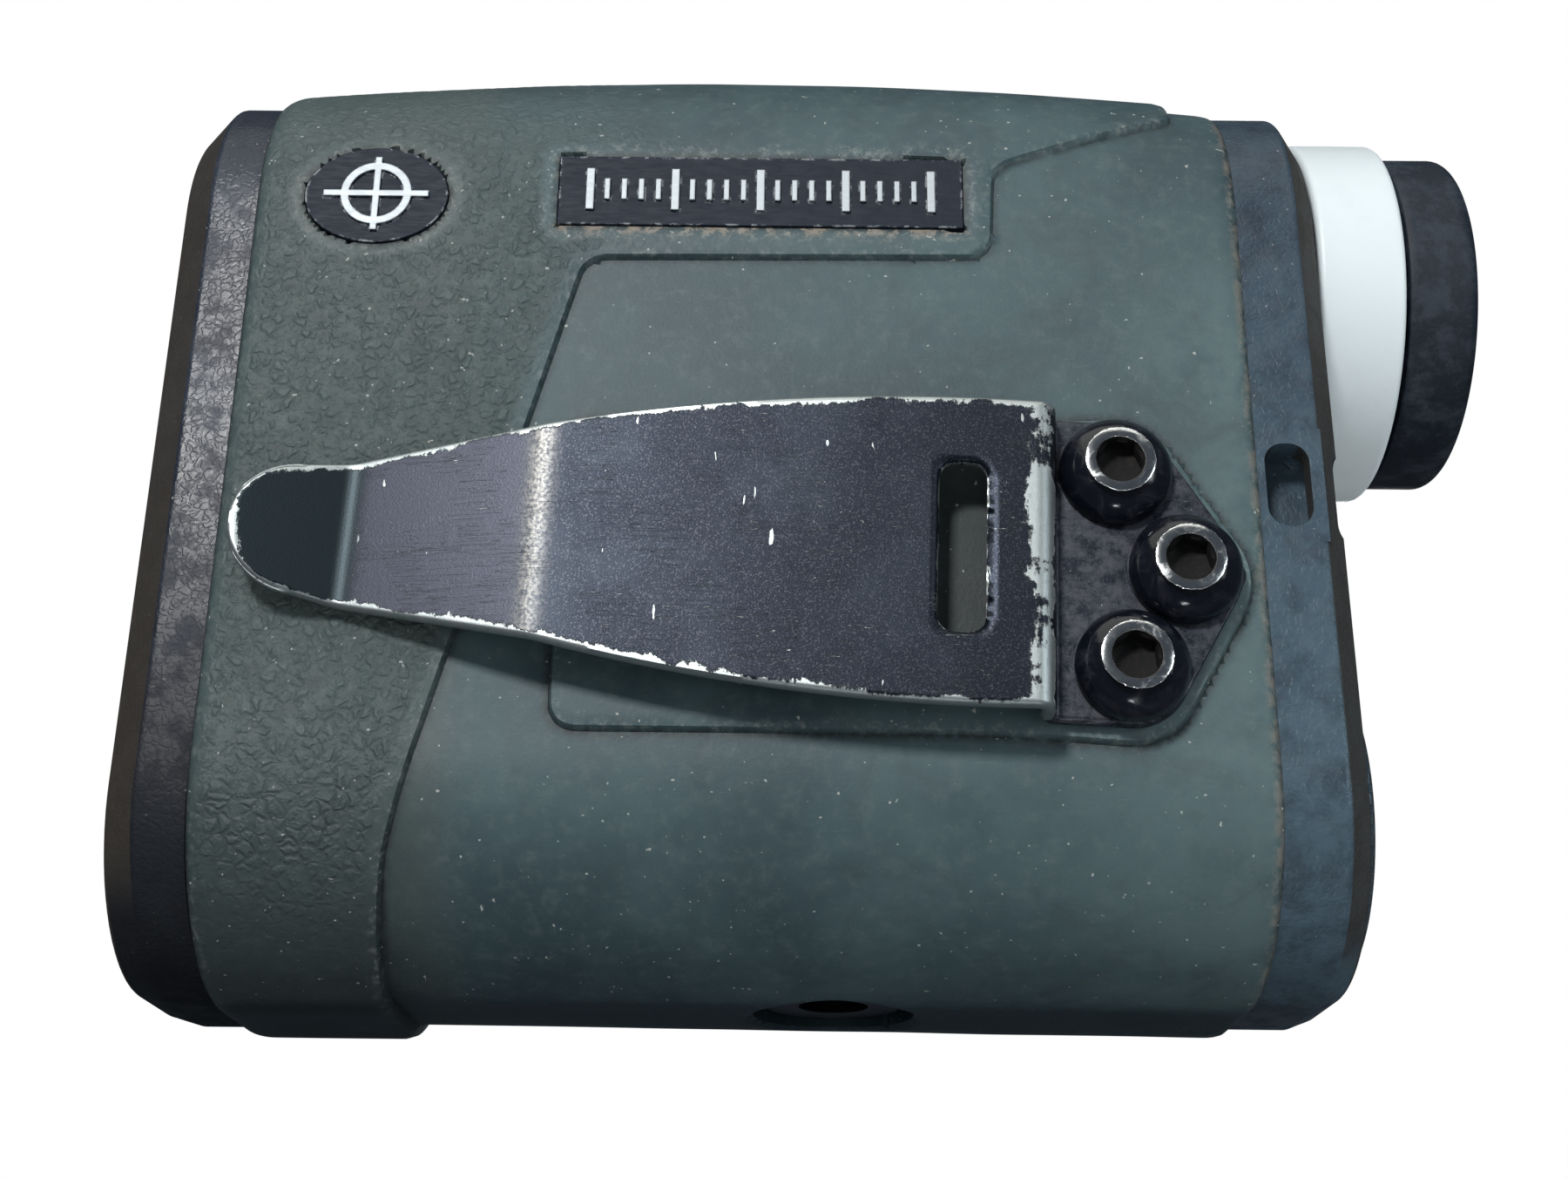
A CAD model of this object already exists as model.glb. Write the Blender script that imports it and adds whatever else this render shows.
"""Looks of the handheld laser rangefinder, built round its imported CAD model.

Everything sits in the row frame: +X to the eye, +Z up to the buttons, -Y to the belt clip.
Sizes here are in millimetres and meshes are scaled to metres as they are made.
"""

import math

import bmesh
import bpy
import numpy as np
from mathutils import Matrix, Vector, noise


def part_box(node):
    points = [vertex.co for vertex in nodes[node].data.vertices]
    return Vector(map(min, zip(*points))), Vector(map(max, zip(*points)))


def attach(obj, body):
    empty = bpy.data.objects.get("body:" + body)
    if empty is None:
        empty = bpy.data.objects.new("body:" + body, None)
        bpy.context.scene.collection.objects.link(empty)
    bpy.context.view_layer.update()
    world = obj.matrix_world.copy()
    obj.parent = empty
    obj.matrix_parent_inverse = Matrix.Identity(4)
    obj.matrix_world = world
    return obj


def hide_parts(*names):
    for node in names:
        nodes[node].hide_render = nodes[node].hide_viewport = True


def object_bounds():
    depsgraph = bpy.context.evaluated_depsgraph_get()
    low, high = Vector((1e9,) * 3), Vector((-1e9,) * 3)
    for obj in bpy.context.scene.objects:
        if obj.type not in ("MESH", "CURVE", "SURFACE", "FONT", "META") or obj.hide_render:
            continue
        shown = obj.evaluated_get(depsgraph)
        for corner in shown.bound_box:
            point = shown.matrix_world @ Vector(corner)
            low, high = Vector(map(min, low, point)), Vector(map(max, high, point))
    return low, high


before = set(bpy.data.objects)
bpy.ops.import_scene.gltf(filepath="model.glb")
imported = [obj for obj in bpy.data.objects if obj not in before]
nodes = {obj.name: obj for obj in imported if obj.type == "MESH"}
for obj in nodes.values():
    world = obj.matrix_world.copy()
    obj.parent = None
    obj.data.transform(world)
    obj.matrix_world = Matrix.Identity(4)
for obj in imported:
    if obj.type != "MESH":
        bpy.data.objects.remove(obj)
cad_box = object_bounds()
noise.seed_set(1)  # the stir in the armour's grain is the same in every run
MM = 0.001


def cad_range(node):
    """Lowest and highest corner of a CAD node, in millimetres."""
    low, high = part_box(node)
    return low / MM, high / MM


# ============ sizes, in millimetres, as the CAD has them ============
ARMOUR_LOW, ARMOUR_HIGH = cad_range("rubber_armour")
X0, X1 = ARMOUR_LOW.x, ARMOUR_HIGH.x  # seams between the armour and the bezels
MID_X = (X0 + X1) / 2
GRIP_SIDE, GRIP_TOP, PAD_LIFT = 0.6, 0.7, 0.7
HALF_WIDTH = ARMOUR_HIGH.y - GRIP_SIDE
GRIP_FOOT_Z, HUMP_TOP_Z = ARMOUR_LOW.z, ARMOUR_HIGH.z
CROWN_Z, CROWN_DROP = 75.1, 1.9
BELLY_FRONT, BELLY_REAR = -0.7, -1.2
CORNER = 15.0
ARMOUR_T = 1.5
BAND_HALF = cad_range("front_bezel")[1].y
BAND_TOP = cad_range("front_bezel")[1].z
FRONT_BOTTOM, REAR_BOTTOM = cad_range("front_bezel")[0].z, cad_range("rear_bezel")[0].z
EYE_Z = (cad_range("eyecup")[0].z + cad_range("eyecup")[1].z) / 2

SCREWS = [(19.6, 34.4), (24.1, 27.0), (20.0, 19.8)]  # X and Z of the clip's screws
CLIP_X, CLIP_Z, CLIP_TURN = 21.0, 27.1, math.radians(2.0)


def along_clip(x, z):
    """Places along and across the belt clip of points given by their X and Z."""
    dx, dz = x - CLIP_X, z - CLIP_Z
    cos, sin = math.cos(CLIP_TURN), math.sin(CLIP_TURN)
    return dx * cos - dz * sin, dx * sin + dz * cos


# ============ materials ============
class Tree:
    """A material's node tree. Textures are placed in millimetres of the piece's own space."""

    def __init__(self, name):
        self.material = bpy.data.materials.new(name)
        self.material.use_nodes = True
        self.tree = self.material.node_tree
        self.shader = self.tree.nodes["Principled BSDF"]
        place = self.tree.nodes.new("ShaderNodeTexCoord").outputs["Object"]
        self.place = self.node("ShaderNodeVectorMath", {0: place, "Scale": 1 / MM}, operation="SCALE")

    def put(self, socket, value):
        """Link a socket to another, or set its value."""
        if isinstance(value, bpy.types.NodeSocket):
            self.tree.links.new(value, socket)
        else:
            socket.default_value = value

    def node(self, kind, inputs, output=0, **properties):
        """Add a node and return one of its outputs."""
        made = self.tree.nodes.new(kind)
        for key, value in properties.items():
            setattr(made, key, value)
        for key, value in inputs.items():
            self.put(made.inputs[key], value)
        return made.outputs[output]

    def set(self, **values):
        """Set the shader's sockets; spaces in their names are written as underscores."""
        for key, value in values.items():
            self.put(self.shader.inputs[key.replace("_", " ")], value)

    def math(self, operation, a, b=0.0, clamp=False):
        return self.node("ShaderNodeMath", {0: a, 1: b}, operation=operation, use_clamp=clamp)

    def times(self, a, b, clamp=False):
        return self.math("MULTIPLY", a, b, clamp)

    def ramp(self, value, low, high, to_low=0.0, to_high=1.0):
        """Smooth step from to_low at low to to_high at high."""
        inputs = {"Value": value, "From Min": low, "From Max": high, "To Min": to_low, "To Max": to_high}
        return self.node("ShaderNodeMapRange", inputs, interpolation_type="SMOOTHSTEP")

    def mix(self, factor, a, b, blend="MIX"):
        """Colour a, turning to colour b as factor rises."""
        inputs = {0: factor, 6: rgba(a), 7: rgba(b)}
        return self.node("ShaderNodeMix", inputs, output=2, data_type="RGBA", blend_type=blend)

    def over(self, factor, colour):
        """Lay a colour over the one that the tree has so far."""
        self.colour = self.mix(factor, self.colour, colour)

    def noise(self, size, detail=3.0, roughness=0.55, place=None, distortion=0.0):
        """Noise whose features are about size millimetres."""
        inputs = {
            "Vector": place or self.place, "Scale": 1 / size, "Detail": detail, "Roughness": roughness,
            "Distortion": distortion,
        }
        return self.node("ShaderNodeTexNoise", inputs)

    def cell_edges(self, size, randomness=1.0, place=None):
        """Distance to the nearest edge of cells about size millimetres wide."""
        inputs = {"Vector": place or self.place, "Scale": 1 / size, "Randomness": randomness}
        return self.node("ShaderNodeTexVoronoi", inputs, feature="DISTANCE_TO_EDGE")

    def stretched(self, scale, turn=(0.0, 0.0, 0.0)):
        """The piece's space in millimetres, scaled by axis and turned."""
        inputs = {"Vector": self.place, "Scale": scale, "Rotation": turn}
        return self.node("ShaderNodeMapping", inputs)

    def warped(self, size, amount):
        """The piece's space in millimetres, stirred about by noise."""
        stir = self.node("ShaderNodeTexNoise", {"Vector": self.place, "Scale": 1 / size}, output="Color")
        inputs = {0: stir, 1: (amount, amount, amount), 2: self.place}
        return self.node("ShaderNodeVectorMath", inputs, operation="MULTIPLY_ADD")

    def attribute(self, name):
        return self.node("ShaderNodeAttribute", {}, output="Fac", attribute_name=name)

    def axis(self, letter):
        return self.node("ShaderNodeSeparateXYZ", {0: self.place}, output=letter.upper())

    def bump(self, height, depth, normal=None):
        """Bump whose height of 1 stands depth millimetres proud."""
        inputs = {"Height": height, "Distance": depth * MM, "Strength": 1.0}
        if normal is not None:
            inputs["Normal"] = normal
        return self.node("ShaderNodeBump", inputs, output="Normal")

    def soft_edges(self, radius):
        """Normal that rounds the piece's edges off by radius millimetres."""
        return self.node("ShaderNodeBevel", {"Radius": radius * MM}, samples=6)

    def scratches(self, size, width, turn, reach=14.0):
        """Thin lines, each about size millimetres long, as a mask."""
        lines = self.noise(size, 2.0, 0.5, self.stretched((1.0, 1.0, reach), turn))
        middle = self.math("ABSOLUTE", self.math("SUBTRACT", lines, 0.5))
        return self.ramp(middle, 0.0, width, 1.0, 0.0)


def rgba(colour):
    return (*colour, 1.0) if isinstance(colour, tuple) and len(colour) == 3 else colour


def rubber(name, base, dusty, rough, dust=0.5, specular=0.35):
    """Matte rubber or moulding with a fine grain, mottled by dust."""
    t = Tree(name)
    patches = t.ramp(t.noise(3.5, 6.0, 0.75), 0.45, 0.62)
    specks = t.ramp(t.noise(0.35, 2.0), 0.55, 0.75)
    amount = t.times(t.math("ADD", patches, t.times(specks, 0.5)), dust, clamp=True)
    t.set(
        Base_Color=t.mix(amount, base, dusty),
        Roughness=t.ramp(amount, 0.0, 1.0, rough, min(rough + 0.15, 1.0)),
        Normal=t.bump(t.noise(0.25, 3.0), 0.03, t.soft_edges(0.12)),
        Specular_IOR_Level=specular,
    )
    return t.material


def metal(name, base, dull, rough, grain=(1.0, 1.0, 1.0)):
    """Bare or plated metal with a machined grain and dull patches."""
    t = Tree(name)
    patches = t.ramp(t.noise(3.0, 4.0, 0.6), 0.4, 0.7)
    lines = t.noise(0.25, 2.0, place=t.stretched(grain))
    t.set(
        Base_Color=t.mix(patches, base, dull),
        Metallic=1.0,
        Roughness=t.math("ADD", t.times(lines, 0.15), rough - 0.07),
        Normal=t.bump(lines, 0.01, t.soft_edges(0.1)),
    )
    return t.material


def glass(name, tint, coat_tint):
    """Optical glass, coated, with faint smears."""
    t = Tree(name)
    smears = t.ramp(t.noise(4.0, 4.0, 0.6, distortion=1.5), 0.5, 0.8)
    t.set(
        Base_Color=t.mix(smears, tint, tuple(0.9 * c for c in tint)),
        Roughness=t.ramp(smears, 0.0, 1.0, 0.01, 0.07),
        Transmission_Weight=1.0,
        IOR=1.52,
        Coat_Weight=0.6,
        Coat_Roughness=0.02,
        Coat_Tint=rgba(coat_tint),
    )
    return t.material


def armour_rubber():
    """Green armour: pebbled grip, smooth panels, dust in the creases and scuffed raised edges."""
    t = Tree("armour_rubber_worn")
    pebble, crease, edge = t.attribute("pebble"), t.attribute("crease"), t.attribute("edge")
    clouds = t.ramp(t.noise(16.0, 4.0, 0.6), 0.35, 0.68)
    stains = t.ramp(t.noise(7.0, 6.0, 0.7, distortion=0.6), 0.48, 0.72)
    mist = t.noise(1.2, 5.0, 0.7)
    t.colour = t.mix(clouds, (0.022, 0.045, 0.054), (0.040, 0.074, 0.083))
    # greyer on the front grip, paler and dustier behind the clip
    along, up = t.axis("x"), t.axis("z")
    t.over(t.ramp(along, -29.0, -25.0, 0.7, 0.0), (0.044, 0.062, 0.060))
    pale = t.times(t.ramp(along, 8.0, 34.0), t.ramp(up, 44.0, 60.0, 1.0, 0.0))
    pale = t.times(pale, t.ramp(t.noise(5.0, 5.0, 0.7), 0.3, 0.6, 0.3, 0.9))
    t.over(pale, (0.064, 0.104, 0.110))
    t.over(t.times(pebble, 0.8), (0.048, 0.068, 0.067))
    t.over(t.times(t.ramp(mist, 0.45, 0.75), 0.35), (0.085, 0.112, 0.112))
    t.over(t.times(stains, 0.45), (0.026, 0.038, 0.042))
    # grip: darker in the folds of its leather grain
    folds = t.cell_edges(0.95, place=t.warped(1.3, 1.1))
    broken = t.ramp(t.noise(1.6, 4.0, 0.7), 0.30, 0.55)
    gaps = t.times(t.ramp(folds, 0.02, 0.12, 1.0, 0.0), broken)
    t.over(t.times(t.times(gaps, pebble), 0.38), (0.020, 0.028, 0.028))
    # grime low on the front grip
    low = t.times(t.ramp(up, 1.0, 16.0, 0.6, 0.0), t.ramp(along, -34.0, -24.0, 1.0, 0.0))
    t.over(low, (0.010, 0.018, 0.019))
    # dirt in the seams, scuffs on raised edges, pale specks
    dirt = t.times(crease, t.ramp(t.noise(0.9, 4.0, 0.7), 0.25, 0.55), clamp=True)
    t.over(t.times(dirt, 0.85), (0.009, 0.011, 0.012))
    t.over(t.attribute("under"), (0.006, 0.010, 0.011))
    dust = t.ramp(t.noise(1.4, 5.0, 0.75), 0.44, 0.56)
    t.over(t.times(t.times(t.attribute("ledge"), dust), 0.8), (0.20, 0.165, 0.13))
    scuff = t.times(edge, t.ramp(t.noise(0.7, 4.0, 0.75), 0.48, 0.66), clamp=True)
    t.over(t.times(scuff, 0.55), (0.17, 0.19, 0.18))
    specks = t.ramp(t.noise(0.45, 1.0, 0.4), 0.745, 0.79)
    t.over(t.times(specks, 0.7), (0.32, 0.34, 0.32))
    scratches = t.times(t.scratches(5.0, 0.004, (0.4, 0.0, 0.9)), 0.2)
    t.over(scratches, (0.15, 0.17, 0.165))
    fine = t.noise(0.22, 3.0, 0.6)
    domes = t.times(t.ramp(folds, 0.0, 0.3), broken)
    relief = t.times(t.math("ADD", domes, t.times(fine, 0.35)), pebble)
    t.set(
        Base_Color=t.colour,
        Roughness=t.ramp(t.math("ADD", clouds, pebble), 0.0, 2.0, 0.52, 0.66),
        Normal=t.bump(relief, 0.13, t.bump(t.noise(0.3, 4.0, 0.65), 0.022)),
        Specular_IOR_Level=0.38,
    )
    return t.material


def bezel_plastic():
    """Blue-black satin moulding with a shallow leather grain, filmed brown on its outer bevel."""
    t = Tree("bezel_plastic_grained")
    folds = t.cell_edges(0.62, place=t.warped(0.9, 0.9))
    creases = t.ramp(folds, 0.0, 0.22)
    patches = t.ramp(t.noise(9.0, 4.0, 0.6), 0.4, 0.7)
    t.colour = t.mix(patches, (0.010, 0.014, 0.024), (0.020, 0.027, 0.040))
    chips = t.ramp(t.noise(0.45, 1.0, 0.4), 0.765, 0.80)
    t.over(t.times(chips, 0.55), (0.34, 0.34, 0.34))
    scratches = t.times(t.scratches(6.0, 0.0025, (0.3, 0.0, 0.2)), t.ramp(t.noise(4.0), 0.52, 0.6))
    t.over(t.times(scratches, 0.25), (0.18, 0.19, 0.20))
    # blue-grey film to the rear, grime low at the front
    along, up = t.axis("x"), t.axis("z")
    film = t.times(t.ramp(along, -10.0, 28.0), t.ramp(up, 10.0, 70.0, 1.0, 0.5))
    film = t.times(film, t.ramp(t.noise(2.5, 5.0, 0.7), 0.3, 0.6, 0.4, 0.9))
    t.over(film, (0.048, 0.082, 0.108))
    low = t.times(t.ramp(up, 4.0, 36.0, 1.0, 0.0), t.ramp(along, -30.0, -20.0, 1.0, 0.0))
    t.over(t.times(low, 0.8), (0.002, 0.003, 0.005))
    # a film of brown dust on the faces that look fore and aft
    facing = t.node("ShaderNodeSeparateXYZ", {0: t.node("ShaderNodeNewGeometry", {}, output="Normal")})
    turned = t.ramp(t.math("ABSOLUTE", facing), 0.45, 0.6)
    t.over(t.times(turned, 0.8), (0.030, 0.025, 0.019))
    rubbed = t.ramp(t.noise(2.6, 5.0, 0.7), 0.4, 0.66)
    dull = t.math("MAXIMUM", turned, low)
    t.set(
        Base_Color=t.colour,
        Roughness=t.math("ADD", t.ramp(rubbed, 0.0, 1.0, 0.33, 0.5), t.times(dull, 0.28)),
        Normal=t.bump(creases, 0.014, t.bump(t.noise(0.2, 3.0), 0.006)),
        Specular_IOR_Level=0.3,
    )
    return t.material


def clip_coat():
    """Charcoal coat with a metallic sparkle, rubbed through to bright steel along edges and bends."""
    t = Tree("clip_coat_worn")
    wear = t.attribute("wear")
    ragged = t.noise(0.7, 6.0, 0.8)
    fibres = t.noise(0.3, 4.0, 0.7, t.stretched((1.0, 1.0, 0.3)))
    patchy = t.ramp(t.noise(4.0, 3.0, 0.6), 0.35, 0.65, -0.20, 0.10)
    rough_edge = t.math("ADD", t.times(ragged, 0.6), t.times(fibres, 0.35))
    bare = t.ramp(t.math("ADD", t.math("ADD", wear, rough_edge), patchy), 1.0, 1.07)
    nicks = t.ramp(t.noise(1.1, 2.0, 0.5, t.stretched((1.6, 1.0, 0.5), (0, 0.2, 0))), 0.73, 0.745)
    lines = t.scratches(9.0, 0.0036, (0.0, 0.9, 0.0), 20.0)
    more = t.scratches(7.0, 0.0034, (0.0, -0.35, 0.0), 26.0)
    dashes = t.ramp(t.noise(3.5, 1.0), 0.50, 0.56)
    marks = t.math("MAXIMUM", nicks, t.times(t.math("MAXIMUM", lines, more), dashes))
    marks = t.times(marks, t.math("SUBTRACT", 0.9, t.attribute("lip")), clamp=True)
    bare = t.math("MAXIMUM", bare, marks, clamp=True)
    sparkle = t.ramp(t.noise(0.12, 1.0, 0.4), 0.52, 0.75)
    soot = t.ramp(t.noise(8.0, 4.0, 0.6), 0.4, 0.7)
    t.colour = t.mix(soot, (0.004, 0.008, 0.016), (0.011, 0.017, 0.027))
    # the coat is thinner and paler beyond the bend, and darkest on the lip
    t.over(t.times(t.attribute("thin"), 0.6), (0.064, 0.069, 0.092))
    t.over(t.attribute("lip"), (0.008, 0.016, 0.020))
    glints = t.times(sparkle, t.math("SUBTRACT", 1.0, t.attribute("lip")))
    t.over(t.times(glints, 0.35), (0.10, 0.105, 0.125))
    dust = t.times(t.attribute("dust"), t.ramp(t.noise(1.3, 5.0, 0.7), 0.35, 0.65), clamp=True)
    t.over(dust, (0.062, 0.066, 0.080))
    # the bend is burnished in a soft, grainy band
    burnish = t.times(t.attribute("burnish"), t.ramp(t.noise(0.25, 2.0), 0.3, 0.7, 0.15, 0.9))
    t.over(burnish, (0.24, 0.235, 0.22))
    steel = t.mix(ragged, (0.24, 0.28, 0.28), (0.50, 0.54, 0.54))
    height = t.math("SUBTRACT", t.times(t.noise(0.14, 2.0), 0.3), bare)
    t.set(
        Base_Color=t.mix(bare, t.colour, steel),
        Metallic=t.ramp(bare, 0.0, 1.0, 0.7, 0.9),
        Roughness=t.ramp(bare, 0.0, 1.0, 0.40, 0.42),
        Normal=t.bump(height, 0.03),
    )
    return t.material


def screw_coat():
    """Gloss black coat on the clip's screws, worn to a bright ring round the socket, with rust inside."""
    t = Tree("screw_coat_worn")
    ring, socket = t.attribute("ring"), t.attribute("socket")
    ragged = t.noise(0.5, 5.0, 0.75)
    bare = t.ramp(t.math("ADD", ring, t.times(ragged, 0.9)), 1.12, 1.2)
    smear = t.ramp(t.noise(2.2, 5.0, 0.7, distortion=0.8), 0.45, 0.7)
    coat = t.mix(smear, (0.003, 0.004, 0.007), (0.012, 0.013, 0.018))
    steel = t.mix(ragged, (0.45, 0.47, 0.47), (0.78, 0.80, 0.80))
    rust = t.mix(t.ramp(t.noise(0.5, 5.0, 0.7), 0.5, 0.75), (0.001, 0.001, 0.001), (0.014, 0.008, 0.006))
    t.set(
        Base_Color=t.mix(socket, t.mix(bare, coat, steel), rust),
        Metallic=t.times(bare, t.math("SUBTRACT", 1.0, socket)),
        Roughness=t.ramp(t.math("ADD", t.times(smear, 0.4), socket), 0.0, 1.0, 0.13, 0.8),
        Normal=t.bump(t.math("SUBTRACT", t.times(t.noise(0.3), 0.3), bare), 0.02),
        Specular_IOR_Level=0.4,
    )
    return t.material


def badge_metal(marks_y):
    """Charcoal paint, with bare bright metal on the raised marks and at chipped edges."""
    t = Tree("badge_metal_chipped")
    raised = t.ramp(t.math("ABSOLUTE", t.axis("y")), marks_y - 0.12, marks_y - 0.04)
    facing = t.node("ShaderNodeNewGeometry", {}, output="Normal")
    both = {0: t.soft_edges(0.4), 1: facing}
    level = t.node("ShaderNodeVectorMath", both, output="Value", operation="DOT_PRODUCT")
    edge = t.times(t.ramp(level, 0.82, 0.97, 1.0, 0.0), t.ramp(t.noise(0.9, 5.0, 0.75), 0.50, 0.58))
    brushed = t.noise(0.5, 4.0, 0.7, t.stretched((0.3, 1.0, 1.6)))
    paint = t.mix(t.noise(1.0, 4.0, 0.7), (0.003, 0.006, 0.013), (0.012, 0.018, 0.030))
    bright = t.mix(brushed, (0.20, 0.23, 0.26), (0.52, 0.56, 0.58))
    bare = t.math("MAXIMUM", raised, t.times(edge, 0.8))
    t.set(
        Base_Color=t.mix(bare, paint, bright),
        Metallic=t.times(bare, 0.8),
        Roughness=t.ramp(brushed, 0.3, 0.7, 0.52, 0.66),
        Normal=t.bump(brushed, 0.012, t.soft_edges(0.14)),
        Specular_IOR_Level=0.18,
    )
    return t.material


def white_silicone():
    """Soft white silicone with faint grey smudges."""
    t = Tree("white_silicone_used")
    smudge = t.ramp(t.noise(5.0, 5.0, 0.65), 0.5, 0.8)
    grime = t.ramp(t.noise(0.6, 4.0, 0.7), 0.66, 0.78)
    t.colour = t.mix(t.times(smudge, 0.5), (0.56, 0.62, 0.64), (0.47, 0.53, 0.56))
    t.over(t.times(grime, 0.25), (0.30, 0.31, 0.32))
    t.set(
        Base_Color=t.colour,
        Roughness=t.ramp(smudge, 0.0, 1.0, 0.42, 0.55),
        Subsurface_Weight=0.25,
        Subsurface_Radius=(0.8, 0.9, 1.0),
        Subsurface_Scale=0.6 * MM,
        Normal=t.bump(t.noise(0.5, 3.0), 0.012),
    )
    return t.material


def circuit_board():
    """Green solder mask with faint copper tracks; black chips stand on top."""
    t = Tree("solder_mask")
    tracks = t.cell_edges(2.4, 0.2)
    copper = t.ramp(tracks, 0.05, 0.09, 1.0, 0.0)
    board = t.mix(t.times(copper, 0.5), (0.012, 0.085, 0.035), (0.05, 0.20, 0.07))
    chips = t.ramp(t.axis("z"), 34.42, 34.5)
    t.set(
        Base_Color=t.mix(chips, board, (0.018, 0.018, 0.02)),
        Roughness=t.ramp(t.noise(0.8), 0.3, 0.7, 0.3, 0.45),
        Normal=t.bump(copper, 0.03, t.soft_edges(0.08)),
    )
    return t.material


def printed_cell():
    """Battery: a wrapped can with a plain colour band and bare ends."""
    t = Tree("cell_wrap")
    along = t.axis("x")
    band = t.ramp(along, 20.0, 20.2)
    wear = t.ramp(t.noise(1.5, 5.0, 0.7), 0.6, 0.7)
    colour = t.mix(band, (0.035, 0.045, 0.06), (0.55, 0.33, 0.08))
    t.set(
        Base_Color=t.mix(t.times(wear, 0.4), colour, (0.5, 0.5, 0.5)),
        Roughness=t.ramp(t.noise(0.8), 0.3, 0.7, 0.25, 0.4),
        Metallic=t.ramp(along, 5.4, 5.2),
    )
    return t.material


def stage_floor():
    """Pale floor, solid from above and clear from below, where the camera stands."""
    t = Tree("pale_floor")
    t.set(Base_Color=t.mix(t.noise(40.0), (0.80, 0.80, 0.80), (0.84, 0.84, 0.84)), Roughness=0.6)
    below = t.node("ShaderNodeNewGeometry", {}, output="Backfacing")
    clear = t.node("ShaderNodeBsdfTransparent", {})
    seen = t.node("ShaderNodeMixShader", {0: below, 1: t.shader.outputs[0], 2: clear})
    t.tree.links.new(seen, t.tree.nodes["Material Output"].inputs["Surface"])
    return t.material


# ============ mesh helpers ============
def new_piece(name, points, faces, body, material, attributes=None, sharp=35.0):
    """Make a mesh piece of the points that faces use, smooth but for edges over sharp degrees."""
    used = sorted({k for face in faces for k in face})
    number = {k: i for i, k in enumerate(used)}
    faces = [tuple(number[k] for k in face) for face in faces]
    mesh = bpy.data.meshes.new(name)
    mesh.from_pydata([tuple(p) for p in np.asarray(points)[used] * MM], [], faces)
    for key, values in (attributes or {}).items():
        layer = mesh.attributes.new(key, "FLOAT", "POINT")
        layer.data.foreach_set("value", np.asarray(values, np.float32)[used])
    bm = bmesh.new()
    bm.from_mesh(mesh)
    bmesh.ops.recalc_face_normals(bm, faces=bm.faces)
    limit = math.radians(sharp)
    for face in bm.faces:
        face.smooth = True
    for edge in bm.edges:
        if len(edge.link_faces) == 2:
            edge.smooth = edge.calc_face_angle() < limit
    bm.to_mesh(mesh)
    bm.free()
    mesh.materials.append(material)
    piece = bpy.data.objects.new(name, mesh)
    bpy.context.scene.collection.objects.link(piece)
    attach(piece, body)
    return piece


def corner_arc(before, corner, after, radius, steps):
    """Points on the arc that rounds a corner off."""
    before, corner, after = complex(*before), complex(*corner), complex(*after)
    u, v = before - corner, after - corner
    half = abs(np.angle(v / u)) / 2
    reach = min(radius / math.tan(half), 0.49 * abs(u), 0.49 * abs(v))
    u, v = u / abs(u), v / abs(v)
    centre = corner + (u + v) / abs(u + v) * reach / math.cos(half)
    start = corner + u * reach - centre
    sweep = np.angle((corner + v * reach - centre) / start)
    arc = centre + start * np.exp(1j * sweep * np.arange(steps + 1) / steps)
    return np.stack([arc.real, arc.imag], 1)


def rounded(points, radius):
    """Closed outline through points with its corners rounded."""
    corners = zip(points[-1:] + points[:-1], points, points[1:] + points[:1])
    return np.concatenate([corner_arc(*three, radius, 8) for three in corners])


def box_outline(cx, cy, width, height, radius):
    w, h = width / 2, height / 2
    return rounded([(cx - w, cy - h), (cx + w, cy - h), (cx + w, cy + h), (cx - w, cy + h)], radius)


def ellipse_outline(cx, cy, width, height):
    a = np.linspace(0, 2 * math.pi, 72, endpoint=False)
    return np.stack([cx + width / 2 * np.cos(a), cy + height / 2 * np.sin(a)], 1)


def hull_outline(circles):
    """Outline of the tightest band round circles given as (x, y, radius)."""
    a = np.linspace(0, 2 * math.pi, 320, endpoint=False)
    way = np.stack([np.cos(a), np.sin(a)], 1)
    centres = np.array([c[:2] for c in circles])
    radii = np.array([c[2] for c in circles])
    best = np.argmax(way @ centres.T + radii, axis=1)
    return centres[best] + way * radii[best, None]


def distance(px, py, outline):
    """Signed distance from points to a closed outline, negative inside."""
    near = np.full(px.shape, 1e9)
    inside = np.zeros(px.shape, bool)
    ax, ay = outline[:, 0], outline[:, 1]
    bx, by = np.roll(ax, -1), np.roll(ay, -1)
    for x0, y0, x1, y1 in zip(ax, ay, bx, by):
        dx, dy = x1 - x0, y1 - y0
        t = np.clip(((px - x0) * dx + (py - y0) * dy) / max(dx * dx + dy * dy, 1e-12), 0, 1)
        near = np.minimum(near, (px - x0 - t * dx) ** 2 + (py - y0 - t * dy) ** 2)
        if y0 != y1:
            crosses = ((py < y0) != (py < y1)) & (px < x0 + (py - y0) * dx / dy)
            inside ^= crosses
    return np.where(inside, -1.0, 1.0) * np.sqrt(near)


def smooth(value, low, high):
    t = np.clip((value - low) / (high - low), 0, 1)
    return t * t * (3 - 2 * t)


def bell(value, width):
    """1 where value is 0, falling off over width."""
    return np.exp(-((value / width) ** 2))


def pulled(field, u, v, target=0.0):
    """Points (u, v) moved to where field has its target value, by two steps along its slope."""
    h = 0.02
    for _ in range(2):
        off = np.clip(field(u, v) - target, -0.6, 0.6)
        gu = (field(u + h, v) - field(u - h, v)) / (2 * h)
        gv = (field(u, v + h) - field(u, v - h)) / (2 * h)
        size = np.maximum(gu * gu + gv * gv, 0.2)
        u, v = u - off * gu / size, v - off * gv / size
    return u, v


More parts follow.
